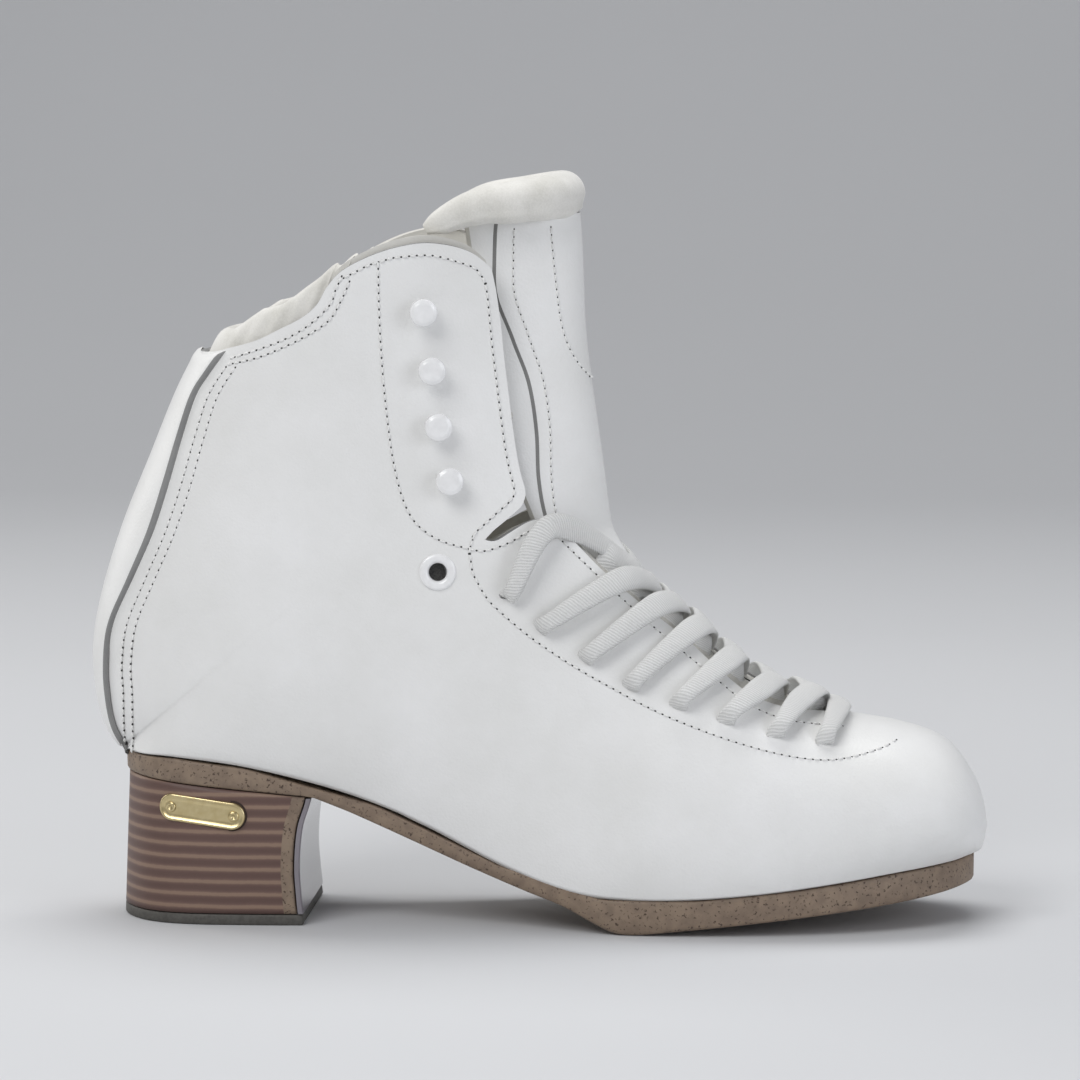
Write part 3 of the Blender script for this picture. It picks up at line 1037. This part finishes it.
# ---- Tongue -----------------------------------------------------------------------------------
# Two layers of white leather over suede: wings a little wider than a front panel with a grey cut
# edge and a stitch line. Stations give front x, z, half width, fall to the edges and its power.
TONGUE = np.array([
    [184, 58.4, 8, 6, 1.5], [171, 64.2, 13, 9, 1.5], [156.2, 72.2, 16, 12, 1.5], [143.7, 81.2, 18, 15, 1.4],
    [132.2, 93.8, 19, 17, 1.4], [125, 105.4, 19.5, 18.5, 1.4], [119.6, 114.6, 19.4, 19.5, 1.4],
    [118, 120.2, 18.6, 18.4, 1.4], [116.2, 134, 18, 22, 1.7], [114.2, 148, 18, 24, 1.9],
    [112.2, 162, 18, 26, 2], [110.8, 174, 18, 27, 2.1], [110.2, 186, 18, 28, 2.2],
    [109.8, 197, 18, 29, 2.2], [109, 210, 18, 30, 2.2]])
PANEL_EDGE = [[0, 0.9], [3, 0.9], [5, 0.92], [7, 0.93], [8, 0.88], [9, 0.82], [10, 0.8], [11, 0.86],
              [12, 0.93], [13, 0.92], [14, 0.88]]


def on_tongue(station, share, depth):
    """Points of the tongue: along its stations, across from -1 to 1, at a depth under its front."""
    station, share, depth = np.broadcast_arrays(*(np.asarray(n, float) for n in (station, share, depth)))
    here, ahead, behind = (through(TONGUE, station + k) for k in (0, 0.4, -0.4))
    step = ahead - behind
    length = np.hypot(step[..., 0], step[..., 1])
    back = depth + here[..., 3] * np.abs(share) ** here[..., 4]
    wide = np.clip(here[..., 2] - 0.5 * depth * np.abs(share), 0, None)
    return np.stack([here[..., 0] - back * step[..., 1] / length, share * wide,
                     here[..., 1] + back * step[..., 0] / length], -1)


def closed_sheet(name, top, under, materials):
    """Sheet between two grids of points; the second material covers its cut edge."""
    rows, columns = top.shape[:2]
    count = rows * columns
    index = np.arange(count).reshape(rows, columns)
    rim = np.concatenate([index[0, :-1], index[:-1, -1], index[-1, :0:-1], index[:0:-1, 0]])
    points = np.vstack([top.reshape(-1, 3), under.reshape(-1, 3)])
    edge = np.vstack([points[rim], points[rim + count]])
    size = len(rim)
    here, following = np.arange(size), (np.arange(size) + 1) % size
    strip = np.stack([here, here + size, following + size, following], -1)
    face = grid_faces(rows, columns)
    faces = np.vstack([face, face[:, ::-1] + count, strip + 2 * count])
    made = mesh_piece(name, np.vstack([points, edge]), faces, materials)
    kind = np.repeat([0, 0, 1], [len(face), len(face), size])
    made.data.polygons.foreach_set("material_index", kind.astype(np.int32))
    return made


def tilt_with_tongue(made):
    """Lets a piece bend over about 19 mm, from still on the boot to tilting with the tongue."""
    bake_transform(made)


def station_share(station):
    """Half width of the front panel, as a share of the tongue's, at a station."""
    edge = smooth_line(PANEL_EDGE, 200)
    return np.interp(station, edge[:, 0], edge[:, 1])


station = np.linspace(0, 13.93, 150)[:, None]
across = np.linspace(-1, 1, 61)[None]
round_edge = 0.5 * np.clip((np.abs(across) - 0.96) / 0.04, 0, 1) ** 2
wings = closed_sheet("tongue_wings", on_tongue(station, across, 1.3 + round_edge),
                     on_tongue(station, across, 3.6 - round_edge), (white_leather, lining_leather))
tilt_with_tongue(wings)
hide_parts("tongue_lower")
across_panel = across * station_share(station)
panel = closed_sheet("tongue_panel", on_tongue(station, across_panel, -0.15 + round_edge * 0.6),
                     on_tongue(station, across_panel, 1.3), (white_leather, cut_edge))
tilt_with_tongue(panel)
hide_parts("tongue_leather")
cushion_share = np.abs(across)
cushion_station = np.linspace(6.6, 13.9, 80)[:, None]
cushion_under = 4.2 + 5.2 * (1 - cushion_share ** 4) * smooth_step((cushion_station - 6.6) / 0.8)
cushion = closed_sheet("tongue_cushion", on_tongue(cushion_station, across * 0.95, 3.7),
                       on_tongue(cushion_station, across * 0.95, cushion_under), (suede, suede))
tilt_with_tongue(cushion)
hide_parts("tongue_padding")


def tongue_row(station, share, label):
    """One row of stitches on the tongue panel, with its needle holes."""
    dense = on_tongue(station, share, -0.15)
    run = np.concatenate([[0], np.cumsum(np.linalg.norm(np.diff(dense, axis=0), axis=1))])
    at = np.arange(0, run[-1], STITCH)
    s, t = np.interp(at, run, station), np.interp(at, run, share)
    points = on_tongue(s, t, -0.15)
    ahead = np.gradient(points, axis=0)
    ahead /= np.linalg.norm(ahead, axis=1, keepdims=True)
    sideways = on_tongue(s, t + 0.03, -0.15) - on_tongue(s, t - 0.03, -0.15)
    up = np.cross(ahead, sideways)
    up /= np.linalg.norm(up, axis=1, keepdims=True)
    up *= np.sign(up[:, :1])
    for made in sewn(label, points, ahead, up):
        tilt_with_tongue(made)


row_station = np.linspace(4.2, 13.7, 400)
for side, name in ((-1, "outer"), (1, "inner")):
    tongue_row(row_station, side * (station_share(row_station) - 0.085), f"tongue_stitch_{name}")
LABEL = [[13.7, 0.56], [13, 0.56], [12.2, 0.55], [11.4, 0.52], [10.7, 0.44], [10.2, 0.3], [9.95, 0.12],
         [9.9, 0]]
label = through(np.vstack([LABEL, (np.array(LABEL) * [1, -1])[-2::-1]]), np.linspace(0, 14, 500))
tongue_row(label[:, 0], label[:, 1], "tongue_label_stitch")

# ---- Tongue lip ---------------------------------------------------------------------------------
# A padded suede roll bound over the tongue's top. It is a round bar swept across the front of the
# shin, and it thins towards both wings.
LIP = [[65.4, 23.2, 205.4, 1.6], [70, 23.4, 207.8, 3.6], [80, 22.2, 212, 5.1], [92, 18.2, 213.5, 6],
       [101, 10.8, 214.7, 6.5]]
lip_line = np.array(LIP + [[104, 0, 215, 6.7]] + [[x, -y, z, r] for x, y, z, r in LIP[::-1]])
at = np.linspace(0, len(lip_line) - 1, 121)
lip_at = through(lip_line, at)
lip_ahead = np.gradient(lip_at[:, :3], axis=0)
lip_ahead /= np.linalg.norm(lip_ahead, axis=1, keepdims=True)
lip_side = np.cross(lip_ahead, [0, 0, 1.0])
lip_side /= np.linalg.norm(lip_side, axis=1, keepdims=True)
lip_up = np.cross(lip_side, lip_ahead)
angle = np.arange(40) * 2 * np.pi / 40
cos, sin = np.cos(angle), np.sin(angle)
fat = 1 + 0.02 * np.sin(at * 7.1)[:, None] * (sin < -0.2)
radius = lip_at[:, 3:] * fat * np.where(sin < 0, 0.98 + 0.1 * (sin < -0.5), 1.0)
lip_ring = lip_at[:, None, :3] + lip_side[:, None] * (radius * cos)[..., None] * 0.98
lip_ring = lip_ring + lip_up[:, None] * (radius * sin)[..., None]
lip_points, lip_faces = capped(lip_ring.reshape(-1, 3), grid_faces(121, 40, around=True), 40)
lip = mesh_piece("tongue_roll", lip_points, lip_faces, suede)
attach(lip, "tongue")
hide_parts("tongue_lip")

# ---- Sole and heel ------------------------------------------------------------------------------
# A tan sealed outsole with dark speckles, a stacked leather heel that flares to the ground, its
# speckled front corners, the glossy sheet over the heel breast and a hard rubber lift.
SOLE_UNDER = [[119, 1.4], [113, 4.4], [105.5, 8.2], [93, 12.6], [78, 18.4], [57.5, 27.2], [42, 34]]
under_line = np.vstack([[[240, 12.7], [128, 0.2]], smooth_line([[123, 0.2]] + SOLE_UNDER, 60),
                        [[31.5, 38.2], [-45, 45.2]]])[::-1]
top_line = sole_level(-0.3)[::-1]
HEEL_SEAT, HEEL_FRONT, HEEL_INSET = 46, 33, 1.5
BREAST = smooth_line([[32.5, 50], [31.4, 38], [28.8, 29], [27.9, 18], [28.5, 8], [29.4, 0]], 60)[::-1]
LIFT = 3.2


def flare(z):
    """How much wider the heel is at a height than at its seat, a fifteenth wider at the ground."""
    return 1 + 4 / 60 * (1 - z / HEEL_SEAT)


def stacked(name, rings, materials, kinds=None):
    """Closed body from loops of points, ends filled to the middle of the first and last loop."""
    rings = np.array(rings)
    count, size = rings.shape[:2]
    shares = np.array([0.04, 0.3, 1.0])[:, None, None]
    low = rings[0] + (rings[0].mean(0) - rings[0]) * shares * [1, 1, 0]
    high = rings[-1] + (rings[-1].mean(0) - rings[-1]) * shares * [1, 1, 0]
    rings = np.concatenate([low[::-1], rings, high])
    made = mesh_piece(name, rings.reshape(-1, 3), grid_faces(len(rings), size, around=True), materials)
    if kinds is not None:
        made.data.polygons.foreach_set("material_index", np.tile(kinds, len(rings) - 1).astype(np.int32))
    return made


def speckled(name, dark, pale, spot, roughness=0.55):
    """Sealed sole leather: cloudy brown with dark specks about half a millimetre wide."""
    made, tree, bsdf = new_material(name, Roughness=roughness)
    where = add(tree, "ShaderNodeTexCoord").outputs["Object"]
    cloud = add(tree, "ShaderNodeTexNoise", Vector=where, Scale=260.0, Detail=5.0)
    speck = add(tree, "ShaderNodeTexNoise", Vector=where, Scale=1150.0, Detail=2.0)
    gate = add(tree, "ShaderNodeValToRGB", stops=[(0.6, "#000000"), (0.68, "#FFFFFF")],
               _0=speck.outputs[0]).outputs[0]
    ground = add(tree, "ShaderNodeValToRGB", stops=[(0.35, dark), (0.65, pale)],
                 _0=cloud.outputs[0]).outputs[0]
    mix = add(tree, "ShaderNodeMix", {"data_type": "RGBA"}, _0=gate, _6=ground, _7=linear(spot))
    tree.links.new(mix.outputs[2], bsdf.inputs["Base Color"])
    bump = add(tree, "ShaderNodeBump", Strength=0.3, Distance=0.0002, Height=cloud.outputs[0])
    tree.links.new(bump.outputs[0], bsdf.inputs["Normal"])
    return made


# Sealed sole leather: brown, cloudy and half matt, with dark specks.
sole_tan = speckled("sealed_sole_leather", "#7B6A5B", "#8D7B69", "#4A3A2F")
# Stacked heel leather with its edge burnished: dark brown, paler lines between the layers.
stack, tree, bsdf = new_material("stacked_heel_leather", Roughness=0.5)
where = add(tree, "ShaderNodeTexCoord").outputs["Object"]
layer = add(tree, "ShaderNodeTexWave", {"wave_type": "BANDS", "bands_direction": "Z"}, Vector=where,
            Scale=85.0, Distortion=0.5,
            Detail=2.0, Detail_Scale=0.6)
mottle = add(tree, "ShaderNodeTexNoise", Vector=where, Scale=700.0, Detail=4.0)
lines = add(tree, "ShaderNodeMath", {"operation": "MULTIPLY_ADD"}, _0=mottle.outputs[0], _1=0.22,
            _2=layer.outputs[1])
browns = [(0.2, "#5F4841"), (0.7, "#69514A"), (0.95, "#7E6658"), (1.0, "#8A7262")]
tree.links.new(add(tree, "ShaderNodeValToRGB", stops=browns, _0=lines.outputs[0]).outputs[0],
               bsdf.inputs["Base Color"])
bump = add(tree, "ShaderNodeBump", Strength=0.4, Distance=0.0002, Height=lines.outputs[0])
tree.links.new(bump.outputs[0], bsdf.inputs["Normal"])


def sole_loop(inset, count=260):
    """The sole outline moved in by a distance."""
    line = through(SOLE_OUTLINE, np.linspace(0, len(SOLE_OUTLINE), count, endpoint=False), closed=True)
    step = np.roll(line, -1, axis=0) - np.roll(line, 1, axis=0)
    step /= np.linalg.norm(step, axis=1, keepdims=True)
    return line + inset * np.stack([-step[:, 1], step[:, 0]], -1)


def sole_ring(inset, share):
    """The outline at a share of the way from the underside of the sole (0) to its top (1)."""
    loop = sole_loop(inset)
    low = np.interp(loop[:, 0], under_line[:, 0], under_line[:, 1])
    top = np.interp(loop[:, 0], top_line[:, 0], top_line[:, 1])
    return np.column_stack([loop, low + share * (top - low)])


def filled_sole(inset, share):
    """Rings that shrink across the sole to its middle line, keeping to its curve."""
    ring = sole_ring(inset, share)
    middle = np.column_stack([ring[:, 0], np.full(len(ring), 2.0), ring[:, 2]])
    return [ring + (middle - ring) * part for part in (1.0, 0.6, 0.15)]


rings = filled_sole(1.6, 0.0)
rings += [sole_ring(i, s) for i, s in ((1.5, 0), (0.95, 0.04), (0.65, 0.12), (0.6, 0.5), (0.6, 0.9),
                                       (0.75, 0.97), (1.1, 1.0))]
rings += filled_sole(1.2, 1.0)[::-1]
outsole = mesh_piece("outsole_leather", np.array(rings).reshape(-1, 3),
                     grid_faces(len(rings), 260, around=True), sole_tan)
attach(outsole, "boot")
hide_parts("outsole")

heel_back = sole_loop(HEEL_INSET, 900)
heel_back = np.vstack([heel_back[len(heel_back) // 2:], heel_back[:len(heel_back) // 2]])
heel_back = evenly(heel_back[heel_back[:, 0] < HEEL_FRONT], 1.0)


def heel_ring(low, share, recess, grow=0.0, top=None):
    """Loop round the heel at a share of the way up from low, closed by the breast less a recess."""
    arc = heel_back
    z = np.full(len(arc), low)
    # The height depends on x and x on the height, so three rounds settle both.
    for _ in range(3):
        scale = flare(z)
        breast = np.interp(z, BREAST[:, 1], BREAST[:, 0]) - recess
        tip = arc[:, 0].min() * scale
        x = tip + (arc[:, 0] * scale - tip) * (breast - tip) / (HEEL_FRONT * scale - tip)
        seat = np.interp(x, [-45, 31.5], [45.2, 38.2]) - 0.3 if top is None else top
        z = low + share * (seat - low)
    loop = np.column_stack([x, arc[:, 1] * scale, z])
    centre = np.array([5, 0])
    loop[:, :2] += (centre - loop[:, :2]) * -grow / 28
    across = np.linspace(0, 1, 26)[1:-1, None]
    return np.vstack([loop, loop[-1] + (loop[0] - loop[-1]) * across])


heel_rings = [heel_ring(LIFT + 0.3, s, 1.7) for s in np.linspace(0, 1, 30)]
run = np.minimum(np.arange(len(heel_rings[0])), len(heel_back) - 1 - np.arange(len(heel_rings[0])))
heel = stacked("heel_layers", heel_rings, (stack, sole_tan), (run < 5).astype(int))
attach(heel, "boot")
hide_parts("heel_stack")

# Moulded hard rubber: dark, matt and slightly gritty.
lift_rubber, tree, bsdf = new_material("heel_lift_rubber", Roughness=0.6)
where = add(tree, "ShaderNodeTexCoord").outputs["Object"]
grit = add(tree, "ShaderNodeTexNoise", Vector=where, Scale=900.0, Detail=4.0)
tree.links.new(add(tree, "ShaderNodeValToRGB", stops=[(0.3, "#4B4945"), (0.7, "#5D5B56")],
                   _0=grit.outputs[0]).outputs[0], bsdf.inputs["Base Color"])
bump = add(tree, "ShaderNodeBump", Strength=0.3, Distance=0.0002, Height=grit.outputs[0])
tree.links.new(bump.outputs[0], bsdf.inputs["Normal"])
lift_rings = [heel_ring(z, 0, 0.1, g) for z, g in ((0, -0.7), (0.15, -0.3), (0.5, 0), (2.7, 0), (3.05, -0.1),
                                                   (3.2, -0.4))]
lift = stacked("heel_top_lift", lift_rings, lift_rubber)
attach(lift, "boot")
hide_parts("heel_lift")

# Glossy laminate film: smooth and grey, with faint streaks.
breast_gloss, tree, bsdf = new_material("breast_gloss_laminate", Roughness=0.18, Coat_Weight=0.5,
                                        Coat_Roughness=0.1)
where = add(tree, "ShaderNodeTexCoord").outputs["Object"]
streak = add(tree, "ShaderNodeTexNoise", Vector=where, Scale=60.0, Detail=4.0)
tree.links.new(add(tree, "ShaderNodeValToRGB", stops=[(0.3, "#6F696F"), (0.7, "#858086")],
                   _0=streak.outputs[0]).outputs[0], bsdf.inputs["Base Color"])
cover_rows = []
for z in np.linspace(LIFT + 0.3, 37.7, 40):
    x = float(np.interp(z, BREAST[:, 1], BREAST[:, 0]))
    scale = flare(z)
    wide = [float(sole_half_width(np.array(x / scale), s) - HEEL_INSET) * scale for s in (-1, 1)]
    y = np.linspace(-wide[0], wide[1], 30)
    face = np.column_stack([np.full(30, x), y, np.full(30, z)])
    turned = np.array([[x - 1.5, -wide[0] - 0.05, z], [x - 0.5, -wide[0] - 0.02, z],
                       [x - 0.12, -wide[0] + 0.1, z]])
    cover_rows.append(np.vstack([turned, face[1:-1], (turned * [1, 0, 1] + [0, wide[1], 0])[::-1]]))
breast = mesh_piece("breast_cover", np.array(cover_rows).reshape(-1, 3), grid_faces(40, 34), breast_gloss)
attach(breast, "boot")
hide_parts("heel_breast_cover")

# ---- Heel plate ---------------------------------------------------------------------------------
# A blank brass plate with round ends and a raised rim, held to the heel's outer side by two pins,
# one at each end. It lies in a shallow dark seat.
# Polished brass: a pale yellow metal that fine scuffs make duller in places.
brass, tree, bsdf = new_material("polished_brass", Metallic=1.0)
where = add(tree, "ShaderNodeTexCoord").outputs["Object"]
scuff = add(tree, "ShaderNodeTexNoise", Vector=where, Scale=500.0, Detail=5.0)
tree.links.new(add(tree, "ShaderNodeValToRGB", stops=[(0.3, "#CDBB8C"), (0.7, "#DACA9E")],
                   _0=scuff.outputs[0]).outputs[0], bsdf.inputs["Base Color"])
tree.links.new(add(tree, "ShaderNodeMapRange", Value=scuff.outputs[0], _3=0.26, _4=0.34).outputs[0],
               bsdf.inputs["Roughness"])
# Heel leather in the shadow of the plate: dark and matt.
plate_recess, tree, bsdf = new_material("plate_recess_shade", Roughness=0.8)
where = add(tree, "ShaderNodeTexCoord").outputs["Object"]
dust = add(tree, "ShaderNodeTexNoise", Vector=where, Scale=800.0, Detail=3.0)
tree.links.new(add(tree, "ShaderNodeValToRGB", stops=[(0.3, "#2A1E18"), (0.7, "#3B2C24")],
                   _0=dust.outputs[0]).outputs[0], bsdf.inputs["Base Color"])
PLATE_MIDDLE, PLATE_TILT = np.array([-1.0, 33.6]), np.radians(-7)


def on_heel_side(along, up, height):
    """Points over the outer side of the heel, in the tilted frame of the plate."""
    x = PLATE_MIDDLE[0] + along * np.cos(PLATE_TILT) - up * np.sin(PLATE_TILT)
    z = PLATE_MIDDLE[1] + along * np.sin(PLATE_TILT) + up * np.cos(PLATE_TILT)
    scale = flare(z)
    return np.stack([x, -(sole_half_width(x / scale, -1) - HEEL_INSET) * scale - height, z], -1)


PLATE_HALF_HEIGHT, PLATE_HALF_STRAIGHT = 4, 9


def plate(name, steps, material):
    """Rings of one outline, two half circles and the straights between, inset and raised step by step."""
    angle = np.linspace(0, 2 * np.pi, 72, endpoint=False)
    rings = []
    for inset, height in steps:
        radius = PLATE_HALF_HEIGHT - inset
        along = PLATE_HALF_STRAIGHT * np.sign(np.cos(angle)) + radius * np.cos(angle)
        rings.append(on_heel_side(along, radius * np.sin(angle), height))
    made = mesh_piece(name, np.array(rings).reshape(-1, 3), grid_faces(len(rings), 72, around=True), material)
    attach(made, "boot")
    return made


rim_steps = [(0.0, 0.0), (0.0, 1.0), (0.15, 1.25), (0.45, 1.35), (0.8, 1.25), (1.0, 1.05), (2.2, 1.05),
             (4.0, 1.05)]
badge = plate("heel_plate", rim_steps, brass)
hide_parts("heel_badge")
seat = plate("heel_plate_seat", [(-0.55, 0.02), (-0.5, 0.12), (0.5, 0.12)], plate_recess)
angle = np.linspace(0, 2 * np.pi, 28, endpoint=False)
for name, end in (("rear", -1), ("front", 1)):
    head = np.array([[0.05, 1.2], [0.5, 1.22], [0.6, 1.5], [1.1, 1.55], [1.5, 1.4], [1.62, 1.05]])
    rings = [on_heel_side(end * 9.6 + r * np.cos(angle), r * np.sin(angle), h) for r, h in head]
    pin = mesh_piece(f"plate_pin_{name}", np.array(rings).reshape(-1, 3),
                     grid_faces(len(head), 28, around=True), brass)
    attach(pin, "boot")
    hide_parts(f"badge_pin_{name}")

# ---- Inner parts --------------------------------------------------------------------------------
# The stiffeners, fillings, boards and fixings that are closed in by the leather and the sole. They
# keep the shapes they come with, and each takes the material of the real piece.


def plain_look(name, dark, pale, scale, roughness, metal=0.0):
    """Board, felt, foam, cork or metal: two close tones over a fine bump."""
    made, tree, bsdf = new_material(name, Metallic=metal, Roughness=roughness)
    where = add(tree, "ShaderNodeTexCoord").outputs["Object"]
    grain = add(tree, "ShaderNodeTexNoise", Vector=where, Scale=scale, Detail=5.0)
    tree.links.new(add(tree, "ShaderNodeValToRGB", stops=[(0.35, dark), (0.65, pale)],
                       _0=grain.outputs[0]).outputs[0], bsdf.inputs["Base Color"])
    bump = add(tree, "ShaderNodeBump", Strength=0.4, Distance=0.0003, Height=grain.outputs[0])
    tree.links.new(bump.outputs[0], bsdf.inputs["Normal"])
    return made


# Pressed fibreboard, grey wool felt, ground cork, bright steel and a cloth backing.
fibreboard = plain_look("fibreboard", "#A98D66", "#BFA37B", 500.0, 0.9)
grey_felt = plain_look("grey_wool_felt", "#8F8F8D", "#B3B3B0", 1200.0, 0.97)
cork = plain_look("ground_cork", "#8E6C42", "#B8935F", 420.0, 0.95)
steel = plain_look("bright_steel", "#A9A9AB", "#C4C4C6", 800.0, 0.3, 1.0)
backing = plain_look("backing_cloth", "#C9C7C0", "#DAD8D2", 1500.0, 0.9)
for nodes, material in (
        (["insole_board", "heel_counter", "toe_puff"], fibreboard), (["footbed"], grey_felt),
        (["sole_filler"], cork),
        (["shank", "heel_screw", "heel_nail_1", "heel_nail_2", "heel_nail_3", "heel_nail_4"], steel),
        (["facing_backing_outer", "facing_backing_inner"], backing)):
    for node in nodes:
        carried = bpy.data.objects[node]
        carried.data.materials.clear()
        carried.data.materials.append(material)
